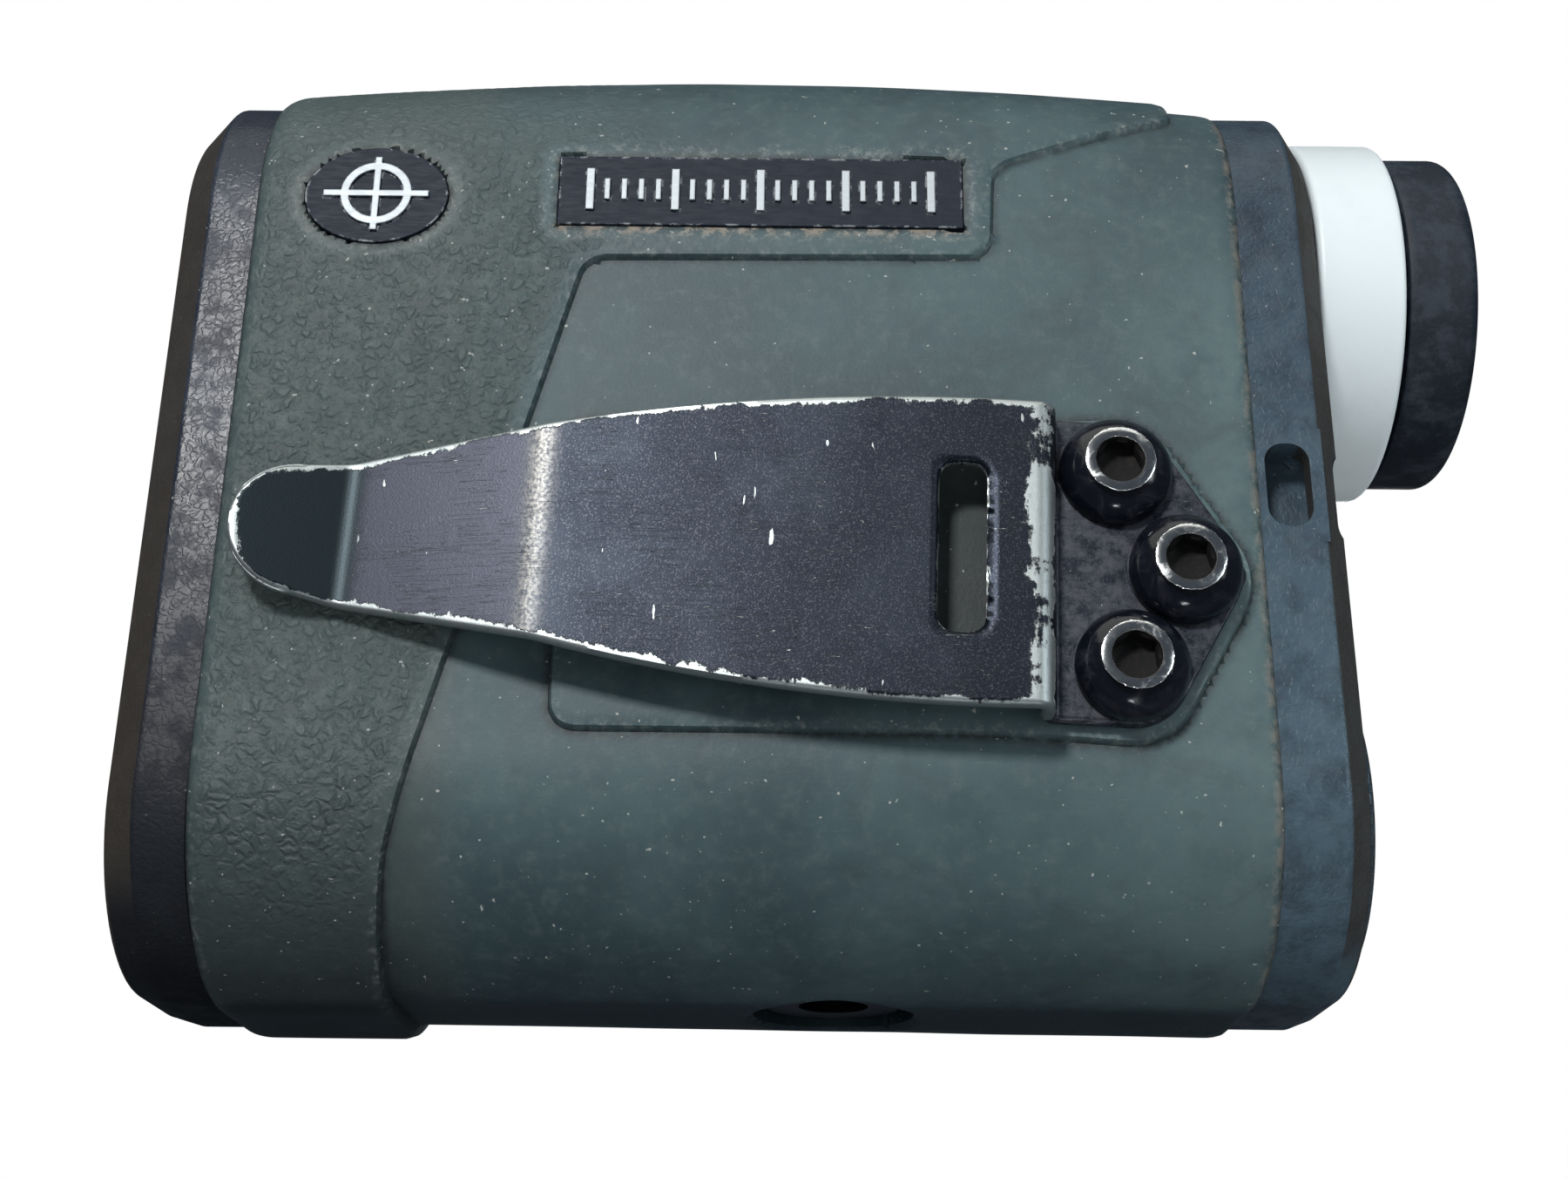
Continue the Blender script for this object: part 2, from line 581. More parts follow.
def open_edges(faces):
    """Edges that belong to one face only."""
    count = {}
    for face in faces:
        for a, b in zip(face, face[1:] + face[:1]):
            key = (min(a, b), max(a, b))
            count[key] = count.get(key, 0) + 1
    return [key for key, n in count.items() if n == 1]


def lathe(name, profile, body, material, wobble):
    """Turn a closed profile of (x, radius) about the eye axis; wobble is added to its radius."""
    count, segments = len(profile), 144
    points, faces = [], []
    for k in range(segments):
        a = 2 * math.pi * k / segments
        for x, r in profile:
            r = r + wobble(x, a)
            points.append((x, r * math.sin(a), EYE_Z + r * math.cos(a)))
        n = (k + 1) % segments
        for i in range(count):
            j = (i + 1) % count
            faces.append((k * count + i, k * count + j, n * count + j, n * count + i))
    return new_piece(name, points, faces, body, material)


# ============ rubber armour ============
FLAT, ARC = HALF_WIDTH - CORNER, math.pi / 2 * CORNER
SIDE = CROWN_Z - CROWN_DROP / 2 - BELLY_FRONT - 2 * CORNER
HALF_ROUND = 2 * FLAT + 2 * ARC + SIDE
GRIP_OUTLINE = rounded(
    [(-32.2, -9.0), (-32.2, -3.0), (-31.0, 7.0), (-19.1, 52.6), (11.5, 52.9), (11.9, 61.0), (26.5, 66.9),
     (26.5, 95.0), (-70.0, 95.0), (-70.0, -9.0)], 2.0)
PAD_OUTLINE = box_outline(-1.65, 27.25, 37.3, 23.9, 2.0)
PAD_ROUND = hull_outline([(x, z, 5.2) for x, z in SCREWS] + [(8.0, 17.6, 2.2), (8.0, 36.9, 2.2)])
HUMP_OUTLINE = box_outline(-7.8, 0.0, 17.5, 15.0, 5.0)
MEASURE_OUTLINE = box_outline(-7.8, 0.0, 13.5, 10.5, 4.0)
MENU_OUTLINE = ellipse_outline(13.0, 0.0, 7.7, 7.7)
BUSH_OUTLINE = ellipse_outline(0.0, 0.0, 12.0, 12.0)
OVAL_OUTLINE = ellipse_outline(-35.4, 57.8, 11.1, 8.5)
PLATE_Z, PLATE_HIGH = 58.4, 6.2
PLATE_OUTLINE = box_outline(-6.1, PLATE_Z, 31.0, PLATE_HIGH, 0.3)
RECESS_DEPTH = 0.95  # below the grip's surface


def top_z(x):
    return CROWN_Z - CROWN_DROP * ((x - MID_X) / (X1 - MID_X)) ** 2


def belly_z(x):
    return BELLY_FRONT + (BELLY_REAR - BELLY_FRONT) * (x - X0) / (X1 - X0)


def body_point(x, s):
    """Place and outward direction on the smooth armour, s millimetres round from the underside's middle."""
    right = s > HALF_ROUND
    s = np.where(right, 2 * HALF_ROUND - s, s)
    low, height = belly_z(x), top_z(x) - belly_z(x)
    first = np.clip(s, 0, FLAT)
    a = np.clip((s - FLAT) / CORNER, 0, math.pi / 2)
    climb = np.clip((s - FLAT - ARC) / SIDE, 0, 1)
    b = np.clip((s - FLAT - ARC - SIDE) / CORNER, 0, math.pi / 2)
    last = np.clip(s - FLAT - 2 * ARC - SIDE, 0, FLAT)
    y = -first - CORNER * np.sin(a) + CORNER * (1 - np.cos(b)) + last
    z = low + CORNER * (1 - np.cos(a)) + climb * (height - 2 * CORNER) + CORNER * np.sin(b)
    side = np.where(right, -1.0, 1.0)
    return y * side, z, -np.sin(a + b) * side, -np.cos(a + b)


def armour_distances(x, y, z):
    """Signed distance to each feature's outline, large where the feature isn't on that face."""
    far = 50.0
    top, under, left = z > CROWN_Z - 8, z < 8, y < -10
    sides = abs(y) > 10
    pad = np.minimum(distance(x, z, PAD_OUTLINE), distance(x, z, PAD_ROUND))
    return {
        "grip": distance(x, z, GRIP_OUTLINE),
        "pad": np.where(left, pad, far),
        "hump": np.where(top, distance(x, y, HUMP_OUTLINE), far),
        "measure": np.where(top, distance(x, y, MEASURE_OUTLINE), far),
        "menu": np.where(top, distance(x, y, MENU_OUTLINE), far),
        "bush": np.where(under, distance(x, y, BUSH_OUTLINE), far),
        "oval": np.where(sides, distance(x, z, OVAL_OUTLINE), far),
        "plate": np.where(sides, distance(x, z, PLATE_OUTLINE), far),
    }


STEP = 0.30  # width of the wall round the grip and the pad
OPENINGS, RECESSES = ("measure", "menu", "bush"), ("oval", "plate")
ISOLINES = {"grip": (0.0, -STEP), "pad": (0.0, -STEP), **{key: (0.0, -0.06) for key in RECESSES}}
ISOLINES.update({key: (0.0,) for key in OPENINGS})


def raised(d):
    """Share of a raised area's height at distance d: a steep wall with a rounded shoulder."""
    wall = 0.82 * np.clip(-d / STEP, 0, 1)
    return wall + 0.18 * smooth(-d, STEP, STEP + 0.7)


def pebbles(x, y, z):
    """Irregular grain of rounded pebbles, 0 in the creases and 1 on their tops."""
    out = np.empty(len(x))
    for i in range(len(x)):
        p = Vector((x[i], y[i], z[i]))
        p += 0.35 * noise.noise_vector(p * 0.9)
        d = noise.voronoi(p / 1.15)[0]
        out[i] = min(1.0, (d[1] - d[0]) / 0.32)
    return out * out * (3 - 2 * out)


def on_armour(key, x, s):
    """Distance to one feature from points of the smooth armour."""
    y, z, _, _ = body_point(x, s)
    return armour_distances(x, y, z)[key]


def snap_to_edges(x, s):
    """Pull points near a feature's outline onto it, so that each edge is a clean line."""
    at_end = (x == x.min()) | (x == x.max())
    band = 0.25  # a little over half the points' spacing
    for key, lines in ISOLINES.items():
        d = on_armour(key, x, s)
        middle = (lines[0] + lines[-1]) / 2
        for line in lines:
            if len(lines) == 1:
                chosen = abs(d - line) < band
            elif line == lines[0]:
                chosen = (d > middle) & (d < line + band + 0.02)
            else:
                chosen = (d <= middle) & (d > line - band - 0.1)
            chosen &= ~at_end
            moved = pulled(lambda u, v: on_armour(key, u, v), x[chosen], s[chosen], line)
            s[chosen] = moved[1]
            x[chosen] = np.clip(moved[0], X0 + 0.05, X1 - 0.05)


def armour_grain(x, z, d):
    """Strength of the grain: full low on the front grip, gone on the strip behind the nameplate."""
    edge_gap = np.minimum.reduce([-d["grip"], d["oval"], d["plate"], x - X0])
    fade = smooth(edge_gap, 0.5, 1.7) * smooth(-x, 10.0, 24.0)
    fade *= 1 - 0.75 * smooth(z, 60.0, 70.0)
    return fade * smooth(z, 0.0, 10.0)


def armour_height(x, y, z, ny, nz, d, grain_strength):
    """How far the armour stands out from its smooth body."""
    up, down, out = np.maximum(nz, 0) ** 2, np.maximum(-nz, 0) ** 2, ny**2
    lift = GRIP_SIDE * out + GRIP_TOP * up + (belly_z(x) - GRIP_FOOT_Z) * down
    height = lift * raised(d["grip"])
    height = np.where(d["pad"] < 0.5, np.maximum(height, PAD_LIFT * raised(d["pad"])), height)
    hump = smooth(-d["hump"], -1.6, 1.0)
    height = height + hump * (HUMP_TOP_Z - 0.02 - (z + height * nz)) * (nz > 0.5)

    # the ends round over to meet the bezels
    for end, reach, sign, low in ((X0, 1.9, 1, FRONT_BOTTOM), (X1, 1.5, -1, REAR_BOTTOM)):
        t = np.clip(1 - sign * (x - end) / reach, 0, 1)
        proud = (HALF_WIDTH - BAND_HALF) * out + (top_z(x) - BAND_TOP) * up + (low - belly_z(x)) * down
        drop = np.maximum(proud + height - 0.12, 0)
        height = height - drop * (1 - np.sqrt(1 - t * t))

    # openings have rounded rims, and the badges sit in recesses
    for key in OPENINGS:
        height = height - 0.35 * np.clip(1 - d[key] / 0.6, 0, 1) ** 2
    for key in RECESSES:
        rim = 0.12 * np.clip(1 - d[key] / 0.35, 0, 1) ** 2
        height = np.where(d[key] < -0.03, GRIP_SIDE - RECESS_DEPTH, height - rim)

    # pebbles on the grip, and a faint waviness everywhere
    grained = grain_strength > 0.01
    grain = np.zeros(len(x))
    grain[grained] = pebbles(x[grained], y[grained], z[grained])
    height = height - 0.10 * grain_strength * (1 - grain)
    waves = np.array([noise.noise(Vector(p) / 9.0) for p in zip(x, y, z)])
    return height - 0.05 * (1 + waves) * (hump < 0.01)


def armour_wear(x, y, z, d):
    """Masks for dirt in the creases, scuffed edges, dusty ledges and grime beneath the strap."""
    crease = np.maximum.reduce([
        bell(d["grip"], 0.30) * (d["grip"] > -0.1) * 0.7,
        bell(d["pad"], 0.40) * (d["pad"] > -0.1),
        bell(np.maximum(d["oval"], 0), 0.45),
        bell(np.maximum(d["plate"], 0), 0.30),
        bell(x - X0, 0.3),
        bell(x - X1, 0.3),
    ])
    edge = np.maximum.reduce([
        bell(d["grip"] + 0.45, 0.3),
        bell(d["pad"] + 0.45, 0.3),
        bell(d["oval"] - 0.5, 0.4),
        bell(d["plate"] - 0.6, 0.6),
        bell(x - X0 - 0.5, 0.4) * 0.5,
        bell(x - X1 + 0.5, 0.4) * 0.5,
    ])
    # dust lies on the ledge below the nameplate and in the rear seam
    below_plate = (d["plate"] > -0.05) & (z < PLATE_Z - PLATE_HIGH / 2 + 0.1)
    ledge = np.where(below_plate, bell(np.maximum(d["plate"] - 0.3, 0), 0.35), 0)
    ledge = np.maximum(ledge, bell(x - X1 + 0.25, 0.22))
    # grime gathers on the pad beneath the strap
    along, across = along_clip(x, z)
    under = smooth(9.8 - abs(across), -0.6, 1.5) * smooth(along, -32.0, -24.0) * smooth(-along, 6.4, 7.4)
    return {"crease": crease, "edge": edge, "ledge": ledge, "under": 0.8 * under * (y < -15)}


def build_armour(material):
    xs = np.concatenate([np.linspace(X0, -19.0, 92), np.linspace(-19.0, X1, 113)[1:]])
    around = int(2 * HALF_ROUND / 0.415)
    ss = np.arange(around) * (2 * HALF_ROUND / around)
    x, s = (g.ravel().copy() for g in np.meshgrid(xs, ss, indexing="ij"))
    snap_to_edges(x, s)
    y, z, ny, nz = body_point(x, s)
    d = armour_distances(x, y, z)
    pebble = armour_grain(x, z, d)
    height = armour_height(x, y, z, ny, nz, d, pebble)
    points = np.stack([x, y + ny * height, z + nz * height], 1)

    row, lane = np.arange(len(xs) - 1)[:, None] * around, np.arange(around)
    corner, beside = row + lane, row + (lane + 1) % around
    quads = np.stack([corner, corner + around, beside + around, beside], -1).reshape(-1, 4)
    hole = np.minimum.reduce([d[key] for key in OPENINGS])
    faces = [tuple(quad) for quad in quads[hole[quads].mean(1) > 0.02].tolist()]

    # walls down into the openings and in at both ends
    rim_edges = open_edges(faces)
    rim = sorted({k for edge in rim_edges for k in edge})
    inner = {k: len(points) + i for i, k in enumerate(rim)}
    inward = np.stack([np.zeros(len(rim)), ny[rim], nz[rim]], 1)
    points = np.concatenate([points, points[rim] - inward * ARMOUR_T])
    faces += [(a, b, inner[b], inner[a]) for a, b in rim_edges]
    masks = {"pebble": pebble, **armour_wear(x, y, z, d)}
    for key, mask in masks.items():
        masks[key] = np.append(mask, np.full(len(rim), float(key == "crease")))
    piece = new_piece("armour_skin", points, faces, "root", material, masks, 38.0)
    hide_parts("rubber_armour")


# ============ belt clip ============
CLIP_T = 1.0
FOOT_Y, STRAP_Y, TOUCH_Y, TIP_Y = -19.7, -22.8, -20.0, -22.4  # inner faces along the strip
FOOT_END, RISER, BEND, TOUCH, TIP = 7.5, -6.6, -42.0, -56.0, -63.9
FOOT_START = -7.8  # where the strap's edges meet the foot's
STRAP_DEPTH = STRAP_Y - CLIP_T / 2 + 0.3
ROUND_EDGE = 0.30
WIDE, MID_WIDE, BEND_WIDE, NECK_WIDE, TIP_R = 11.45, 10.4, 8.1, 4.9, 4.7


def filleted_path(points, radii):
    """Closely spaced points along straight runs joined by arcs."""
    corners = zip(points, points[1:], points[2:], radii)
    arcs = [corner_arc(*three, radius, 12) for *three, radius in corners]
    track = np.concatenate([points[:1], *arcs, points[-1:]])
    run = np.concatenate([[0], np.cumsum(np.linalg.norm(np.diff(track, axis=0), axis=1))])
    dense = np.unique(np.concatenate([run, np.arange(0, run[-1], 0.35), [run[-1]]]))
    dense = dense[np.concatenate([[True], np.diff(dense) > 0.06])]
    return np.stack([np.interp(dense, run, track[:, 0]), np.interp(dense, run, track[:, 1])], 1)


def arc_through(a, b, c, steps=24):
    """Points on the circle through a, b and c, from a to c."""
    a, b, c = complex(*a), complex(*b), complex(*c)
    skew = (c - a) / (b - a)
    centre = a + (b - a) * (skew - abs(skew) ** 2) / (2j * skew.imag)
    sweep = np.angle((b - centre) / (a - centre)) + np.angle((c - centre) / (b - centre))
    arc = centre + (a - centre) * np.exp(1j * np.linspace(0, sweep, steps))
    return list(zip(arc.real, arc.imag))


def strip_path():
    """Middle line of the strip, and its outward direction, as (along, Y)."""
    points = [(FOOT_END, FOOT_Y), (RISER, FOOT_Y), (RISER, STRAP_Y), (BEND, STRAP_Y)]
    path = filleted_path(points + [(TOUCH, TOUCH_Y), (TIP, TIP_Y)], [0.9, 0.9, 6.0, 3.0])
    path[:, 1] -= CLIP_T / 2
    tangent = np.gradient(path, axis=0)
    tangent /= np.linalg.norm(tangent, axis=1)[:, None]
    outward = np.stack([-tangent[:, 1], tangent[:, 0]], 1)
    outward *= np.where(outward[:, 1] > 0, -1, 1)[:, None]
    outward[abs(tangent[:, 0]) < 0.3] = (1.0, 0.0)
    return path, outward / np.linalg.norm(outward, axis=1)[:, None]


def strip_edges(places):
    """Lower and upper edge of the clip at places along it."""
    screws = [(*along_clip(x, z), 4.2) for x, z in SCREWS]
    foot = hull_outline(screws + [(FOOT_START, WIDE - 0.3, 0.3), (FOOT_START, -WIDE + 0.3, 0.3)])
    upper = arc_through((FOOT_START, WIDE), (-29.0, MID_WIDE), (BEND, BEND_WIDE))
    tip = arc_through((TIP + TIP_R, NECK_WIDE), (TIP, 0), (TIP + TIP_R, -NECK_WIDE), 48)
    strap = np.array(upper + tip[:24])
    strap = strap[np.argsort(strap[:, 0])]
    strap[0, 0] = TIP
    edges = []
    for u in places:
        if u < FOOT_START:
            half = np.interp(u, strap[:, 0], strap[:, 1])
            edges.append((-half, half))
            continue
        crossed = []
        for (u0, v0), (u1, v1) in zip(foot, np.roll(foot, -1, 0)):
            if (u0 - u) * (u1 - u) <= 0 and abs(u1 - u0) > 1e-9:
                crossed.append(v0 + (v1 - v0) * (u - u0) / (u1 - u0))
        edges.append((min(crossed), max(crossed)) if crossed else (-0.2, 0.2))
    return np.array(edges)


def clip_masks(along, across, depth, to_edge, to_slot):
    """Masks for the clip's wear, dust, thin coat, dark lip and burnished bend."""
    on_strap = depth < STRAP_DEPTH
    on_foot = depth > FOOT_Y - CLIP_T / 2 - 0.6
    wear = np.maximum.reduce([
        0.84 * np.clip(1 - to_edge / np.where(across < 0, 1.7, 1.5), 0, 1),
        0.92 * (to_edge < 0.2),
        0.75 * np.clip(1 - abs(to_slot) / 0.35, 0, 1),
        0.66 * smooth(along, RISER - 3.4, RISER - 0.8) * on_strap,
        1.1 * bell(np.hypot(along - RISER, depth - STRAP_Y + CLIP_T), 1.1),
        0.25 * bell(along - BEND, 0.8),
    ])
    wear = np.where(on_foot & (along > -8), 0.35 * wear, wear)
    wear = np.where((along < TOUCH) & (across < 0), 0.9 * wear, wear)
    return {
        "wear": wear,
        "dust": on_foot & (along > RISER),
        "thin": smooth(-along, -BEND, -BEND + 2.0) * smooth(along, TOUCH - 0.5, TOUCH),
        "lip": smooth(-along, -TOUCH - 1.9, -TOUCH - 0.3),
        "burnish": bell(along - BEND + 0.3, 0.75) * (0.8 + 0.025 * across),
    }


def build_clip(material):
    path, outward = strip_path()
    lanes = 72
    t = np.linspace(-0.5, 0.5, lanes)
    share = 0.5 + 0.125 * np.sin(math.pi * t) + 0.75 * t  # lanes are closer together near the edges
    index = np.repeat(np.arange(len(path)), lanes)
    outward = outward[index]
    along, depth = path[index].T.copy()
    low, high = strip_edges(path[:, 0])[index].T
    across = low + (high - low) * np.tile(share, len(path))

    # the slot's edge is a clean line
    slot = box_outline(-12.7, 0.0, 3.35, 12.7, 1.2)
    by_slot = (depth < STRAP_DEPTH) & (along > -20)
    grab = by_slot & (abs(distance(along, across, slot)) < 0.24)
    along[grab], across[grab] = pulled(lambda u, v: distance(u, v, slot), along[grab], across[grab])
    to_slot = np.where(by_slot, distance(along, across, slot), 50.0)

    # both faces round over towards every edge
    in_tip = along < TIP + TIP_R
    to_tip = np.maximum(TIP_R - np.hypot(along - (TIP + TIP_R), across), 0)
    to_side = np.minimum(across - low, high - across)
    rim = np.minimum(to_side, abs(to_slot))
    rim = np.where(in_tip, np.minimum(rim, to_tip), rim)
    rim[(index == 0) | (index == len(path) - 1)] = 0
    e = 1 - np.clip(rim / ROUND_EDGE, 0, 1)
    half = CLIP_T / 2 - ROUND_EDGE * (1 - np.sqrt(1 - e * e))
    cos, sin = math.cos(CLIP_TURN), math.sin(CLIP_TURN)
    points = []
    for reach in (half, -half):
        u, y = along + outward[:, 0] * reach, depth + outward[:, 1] * reach
        points.append(np.stack([CLIP_X + u * cos + across * sin, y, CLIP_Z - u * sin + across * cos], 1))

    total = len(along)
    fronts = []
    for i in range(len(path) - 1):
        for j in range(lanes - 1):
            near, far = i * lanes + j, (i + 1) * lanes + j
            quad = (near, far, far + 1, near + 1)
            if to_slot[list(quad)].mean() >= -0.03:
                fronts.append(quad)
    faces = [face for quad in fronts for face in (quad, tuple(total + k for k in reversed(quad)))]
    faces += [(a, b, total + b, total + a) for a, b in open_edges(fronts)]
    masks = clip_masks(along, across, depth, np.where(in_tip, rim, to_side), to_slot)
    masks = {key: np.tile(mask, 2) for key, mask in masks.items()}
    piece = new_piece(
        "belt_clip_worn", np.concatenate(points), faces, "root", material, masks, 50.0)
    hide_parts("belt_clip")


# ============ clip screws ============
HEAD_R, HEAD_H, LAND_R, SOCKET_FLATS, SOCKET_DEPTH = 4.05, 2.7, 2.5, 3.0, 1.6
SHANK_R, SHANK_LENGTH = 1.5, 7.0
HEAD_Y = cad_range("clip_screws")[0].y + HEAD_H  # under side of the heads


def build_screws(material):
    """Button-head screws: a glossy dome, a flat land, and a hexagonal socket with a round mouth."""
    segments = 72
    shank = [(0.0, -SHANK_LENGTH), (SHANK_R - 0.2, -SHANK_LENGTH), (SHANK_R, -SHANK_LENGTH + 0.2)]
    shank += [(SHANK_R, -0.1), (SHANK_R + 0.1, 0.0), (HEAD_R - 0.15, 0.0)]
    dome = [(HEAD_R * math.cos(t), 0.35 + (HEAD_H - 0.4) * math.sin(t)) for t in np.linspace(0, 1.02, 14)]
    # a row has its radius, its height, whether it is a hexagon, how worn it is, and if it is in the socket
    rows = [(r, h, 0, 0, 0) for r, h in shank] + [(HEAD_R, 0.14, 0, 0.15, 0)]
    rows += [(r, h, 0, 0, 0) for r, h in dome]
    rows += [(LAND_R, HEAD_H - 0.06, 0, 0.6, 0), (LAND_R - 0.15, HEAD_H, 0, 1, 0)]
    mouth = SOCKET_FLATS / 2 + 0.25
    rows += [(mouth + 0.06, HEAD_H - 0.02, 0, 1, 0), (mouth, HEAD_H - 0.10, 0, 0.7, 0.3)]
    rows += [(mouth - 0.04, HEAD_H - 0.3, 0, 0, 1)]
    rows += [(SOCKET_FLATS / 2, HEAD_H - 0.5, 1, 0, 1), (SOCKET_FLATS / 2, HEAD_H - SOCKET_DEPTH, 1, 0, 1)]
    rows += [(0.9, HEAD_H - SOCKET_DEPTH - 0.25, 0, 0, 1), (0.0, HEAD_H - SOCKET_DEPTH - 0.45, 0, 0, 1)]
    points, faces, ring, socket = [], [], [], []
    for number, (sx, sz) in enumerate(SCREWS):
        start = len(points)
        spin = 0.4 + 0.9 * number
        for r, h, hexed, worn, inside in rows:
            for k in range(segments):
                a = 2 * math.pi * k / segments
                flat = math.cos((a + math.pi / 6) % (math.pi / 3) - math.pi / 6)
                size = r * (1 / flat if hexed else 1)
                points.append((sx + size * math.cos(a + spin), HEAD_Y - h, sz + size * math.sin(a + spin)))
                ring.append(worn)
                socket.append(inside)
        for i in range(len(rows) - 1):
            for k in range(segments):
                n = (k + 1) % segments
                a, b = start + i * segments, start + (i + 1) * segments
                faces.append((a + k, a + n, b + n, b + k))
    piece = new_piece(
        "clip_screw_heads", points, faces, "root", material,
        {"ring": ring, "socket": socket}, 40.0)
    bm = bmesh.new()
    bm.from_mesh(piece.data)
    bmesh.ops.remove_doubles(bm, verts=bm.verts, dist=1e-7)
    bm.to_mesh(piece.data)
    bm.free()
    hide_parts("clip_screws")


# ============ eyepiece ============
def rounded_ring(x0, x1, inner, outer, radius):
    """Profile of a ring with its outer edges rounded, as (x, radius) points."""
    turns = [math.pi / 2 * k / 6 for k in range(7)]
    rise = [(x0 + radius * (1 - math.cos(a)), outer - radius * (1 - math.sin(a))) for a in turns]
    flat = [(x0 + radius + (x1 - x0 - 2 * radius) * k / 12, outer) for k in range(1, 12)]
    fall = [(x1 - radius * (1 - math.sin(a)), outer - radius * (1 - math.cos(a))) for a in turns]
    return [(x0, inner), *rise, *flat, *fall, (x1, inner)]


def build_eyepiece(silicone, cup_rubber):
    low, high = cad_range("silicone_band")
    outer = (high.y - low.y) / 2

    def stretch(x, a):
        """The band hugs the ring unevenly."""
        lift = noise.noise(Vector((math.cos(a) * 1.3, math.sin(a) * 1.3, x * 0.08)))
        return -0.06 * (1 + lift)

    profile = rounded_ring(low.x + 0.05, high.x - 0.05, outer - 0.8, outer, 0.55)
    band = lathe("silicone_band_soft", profile, "diopter", silicone, stretch)
    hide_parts("silicone_band")

    low, high = cad_range("eyecup")
    outer = (high.y - low.y) / 2
    lip, bore = 9.4, 12.95
    profile = [(low.x, bore), (low.x, outer - 0.5), (low.x + 0.25, outer - 0.12), (low.x + 0.6, outer)]
    profile += [(low.x + 0.6 + k * 0.34, outer) for k in range(1, 11)]
    for k in range(9):
        a = math.pi / 2 * k / 8
        profile.append((high.x - 1.2 + 1.2 * math.sin(a), outer - 1.2 * (1 - math.cos(a))))
    profile += [(high.x, outer - 1.9), (high.x - 0.12, outer - 2.5), (high.x - 0.12, lip + 0.6)]
    profile += [(high.x - 0.18, lip + 0.2), (high.x - 0.4, lip), (high.x - 0.65, lip + 0.1)]
    profile += [(high.x - 0.75, lip + 0.3), (high.x - 0.75, bore)]

    def worn(x, a):
        return -0.04 * (1 + noise.noise(Vector((math.cos(a) * 1.6, math.sin(a) * 1.6, x * 0.2))))

    cup = lathe("eyecup_rubber", profile, "eyecup", cup_rubber, worn)
    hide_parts("eyecup")


# ============ camera, lights and stage ============
def aimed(position, target):
    direction = Vector(target) - Vector(position)
    return direction.to_track_quat("-Z", "Y").to_matrix().to_4x4()


def area_light(name, position, target, size, power, colour):
    light = bpy.data.lights.new(name, "AREA")
    light.shape = "RECTANGLE"
    light.size, light.size_y = size
    light.energy, light.color = power, colour
    lamp = bpy.data.objects.new(name, light)
    lamp.matrix_world = Matrix.Translation(position) @ aimed(position, target)
    bpy.context.scene.collection.objects.link(lamp)


def build_stage():
    scene = bpy.context.scene
    camera = bpy.data.cameras.new("camera")
    camera.lens, camera.sensor_width = 47.0, 36.0
    camera.clip_start, camera.clip_end = 0.01, 10.0
    eye = bpy.data.objects.new("camera", camera)
    pitch, roll = math.radians(21.7), math.radians(0.6)
    facing = Matrix.Rotation(math.pi / 2 + pitch, 4, "X") @ Matrix.Rotation(roll, 4, "Z")
    eye.matrix_world = Matrix.Translation((-0.004, -0.1537, -0.0276)) @ facing
    scene.collection.objects.link(eye)
    scene.camera = eye

    centre = (cad_box[0] + cad_box[1]) / 2
    area_light("key", (-0.135, -0.443, 0.225), centre, (0.08, 0.07), 2.15, (1.0, 0.99, 0.98))
    area_light("overhead", (-0.03, -0.24, 0.50), centre, (0.55, 0.42), 1.0, (1.0, 0.98, 0.91))
    area_light("side", (0.34, -0.36, 0.10), centre, (0.18, 0.14), 0.5, (0.88, 0.96, 1.0))
    area_light("behind", (0.06, 0.50, 0.30), centre, (0.40, 0.30), 2.2, (0.95, 0.98, 1.0))
    area_light("below", (0.03, -0.31, -0.32), centre, (0.05, 0.012), 0.12, (0.90, 0.96, 1.0))

    world = bpy.data.worlds.new("studio")
    world.use_nodes = True
    scene.world = world
    tree = world.node_tree
    background = tree.nodes["Background"]
    light_path = tree.nodes.new("ShaderNodeLightPath")
    shown = tree.nodes.new("ShaderNodeMix")
    shown.data_type = "RGBA"
    shown.inputs[6].default_value = (0.060, 0.072, 0.088, 1.0)
    shown.inputs[7].default_value = (1.0, 1.0, 1.0, 1.0)
    tree.links.new(light_path.outputs["Is Camera Ray"], shown.inputs[0])
    tree.links.new(shown.outputs[2], background.inputs["Color"])
    scene.view_settings.view_transform = "Standard"

    floor = bpy.data.meshes.new("floor")
    bm = bmesh.new()
    bmesh.ops.create_grid(bm, x_segments=8, y_segments=8, size=1.5)
    bm.to_mesh(floor)
    bm.free()
    floor.materials.append(stage_floor())
    ground = bpy.data.objects.new("floor", floor)
    ground.location = (0, 0, cad_box[0].z)
    scene.collection.objects.link(ground)
    ground.visible_glossy = ground.visible_shadow = False


def dress(material, *names):
    """Give CAD nodes a material."""
    for name in names:
        node = nodes[name]
        node.data.materials.clear()
        node.data.materials.append(material)


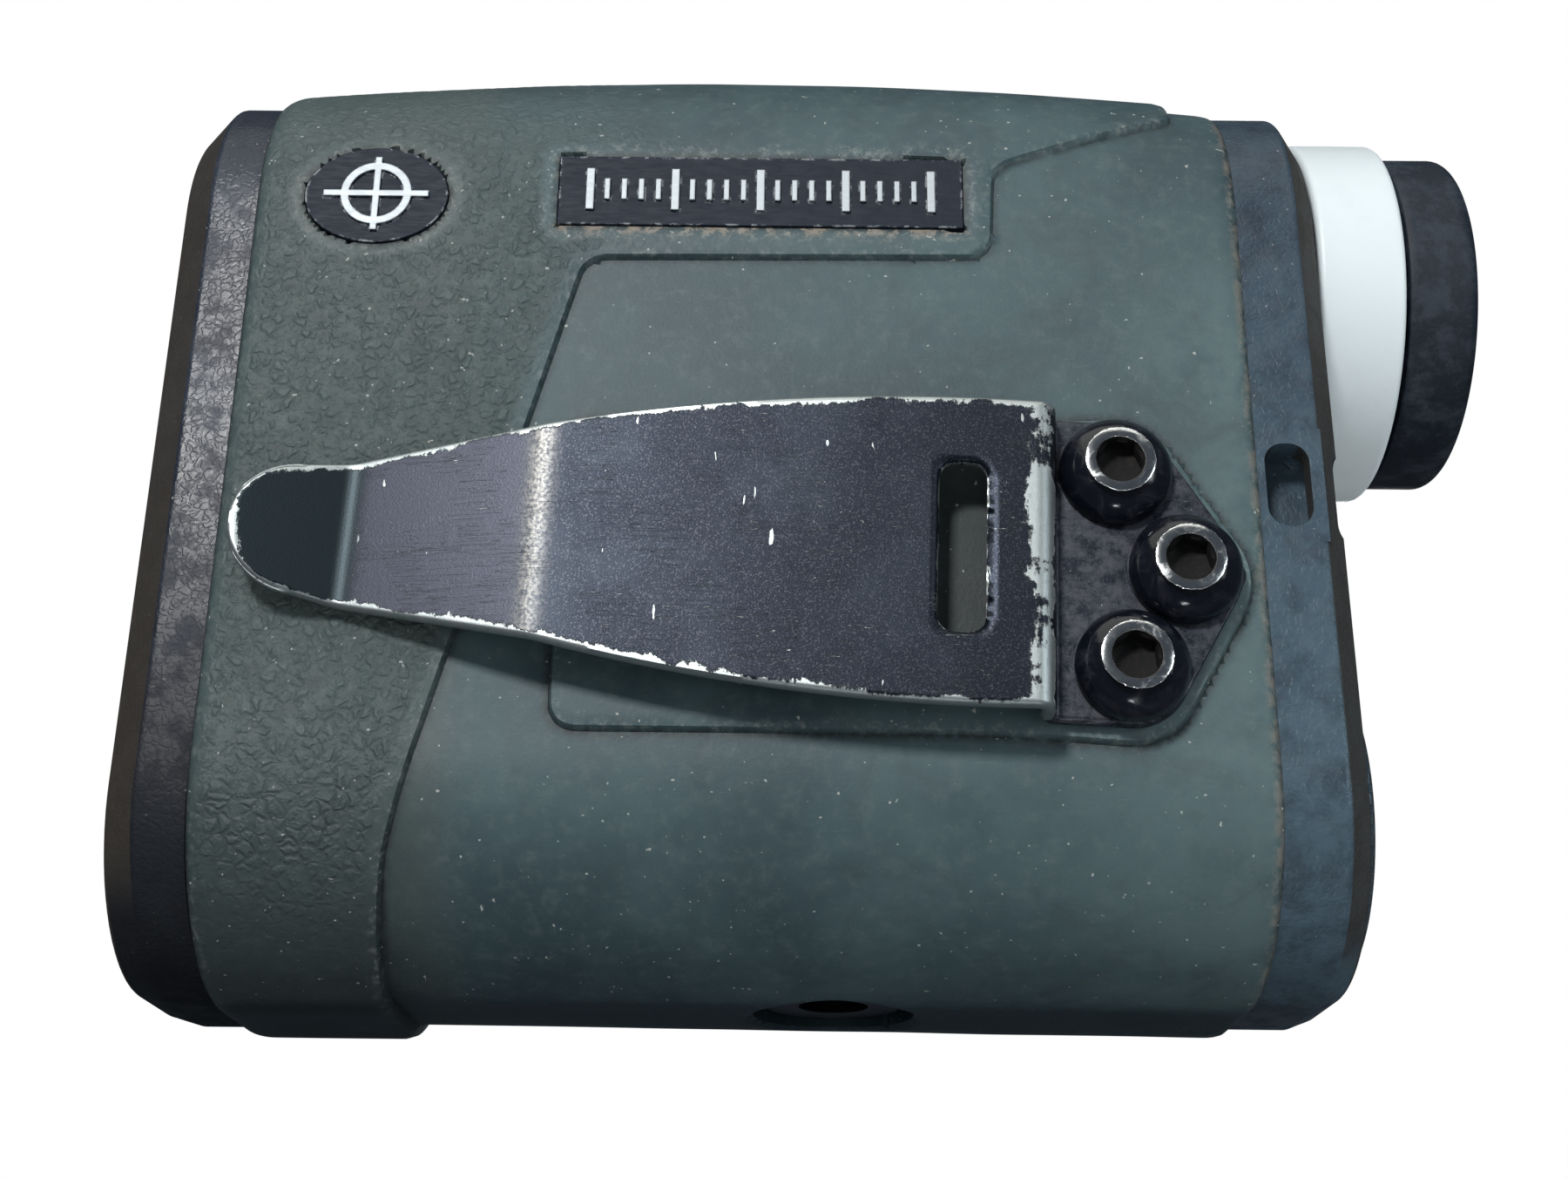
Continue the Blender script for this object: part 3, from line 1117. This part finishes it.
def build_object():
    black_rubber = rubber("black_rubber_dusty", (0.005, 0.010, 0.018), (0.024, 0.033, 0.047), 0.6, dust=0.6)
    inner = rubber("inner_moulding", (0.012, 0.012, 0.014), (0.03, 0.03, 0.03), 0.55, dust=0.2)
    black_metal = metal("black_anodised", (0.03, 0.03, 0.034), (0.05, 0.05, 0.055), 0.4, (0.2, 2.0, 2.0))
    brass = metal("brass_turned", (0.72, 0.50, 0.22), (0.50, 0.34, 0.15), 0.3, (2.0, 2.0, 0.2))
    nickel = metal("nickel_plate", (0.60, 0.59, 0.56), (0.45, 0.44, 0.42), 0.3)
    steel = metal("black_steel", (0.10, 0.10, 0.11), (0.05, 0.045, 0.04), 0.4)
    button = rubber("button_rubber_worn", (0.022, 0.026, 0.026), (0.06, 0.065, 0.062), 0.7, dust=0.5)
    nylon = rubber("nylon_natural", (0.62, 0.60, 0.52), (0.50, 0.48, 0.42), 0.5, dust=0.4, specular=0.5)
    film = rubber("polyimide_film", (0.45, 0.20, 0.04), (0.30, 0.13, 0.03), 0.3, dust=0.4, specular=0.5)
    panel = rubber("display_panel", (0.05, 0.06, 0.06), (0.09, 0.11, 0.10), 0.2, dust=0.3, specular=0.5)
    lens = glass("lens_coated", (0.80, 0.88, 0.90), (0.55, 0.75, 1.0))
    prism = glass("prism_polished", (0.93, 0.97, 0.97), (1.0, 1.0, 1.0))

    build_armour(armour_rubber())
    build_clip(clip_coat())
    build_screws(screw_coat())
    build_eyepiece(white_silicone(), black_rubber)

    dress(bezel_plastic(), "front_bezel", "rear_bezel")
    marks_y = cad_range("nameplate_right")[1].y
    dress(badge_metal(marks_y), "oval_badge_left", "oval_badge_right", "nameplate_left", "nameplate_right")
    dress(button, "measure_button", "menu_button", "button_seal")
    dress(inner, "chassis_left", "chassis_right", "prism_holder", "battery_tube", "laser_holder")
    dress(black_rubber, "front_gasket", "rear_gasket", "battery_cap_seal")
    dress(black_metal, "emitter_tube", "objective_retainer", "emitter_retainer", "eyepiece_housing")
    dress(black_metal, "field_lens_ring", "eye_lens_cell", "eyecup_sleeve", "diopter_ring", "tripod_bush")
    dress(bezel_plastic(), "battery_cap")
    dress(lens, "objective_lens", "emitter_lens", "field_lens", "eye_lens")
    dress(prism, "half_penta_prism", "roof_prism")
    dress(brass, "clip_inserts")
    dress(nickel, "positive_contact", "contact_spring", "dome_switches", "laser_diode", "detector")
    dress(steel, "front_bezel_screws", "rear_bezel_screws")
    dress(nylon, "eyecup_brake_ring")
    dress(circuit_board(), "main_board", "button_board")
    dress(film, "button_flex")
    dress(panel, "display_module")
    dress(printed_cell(), "battery")


build_stage()
build_object()
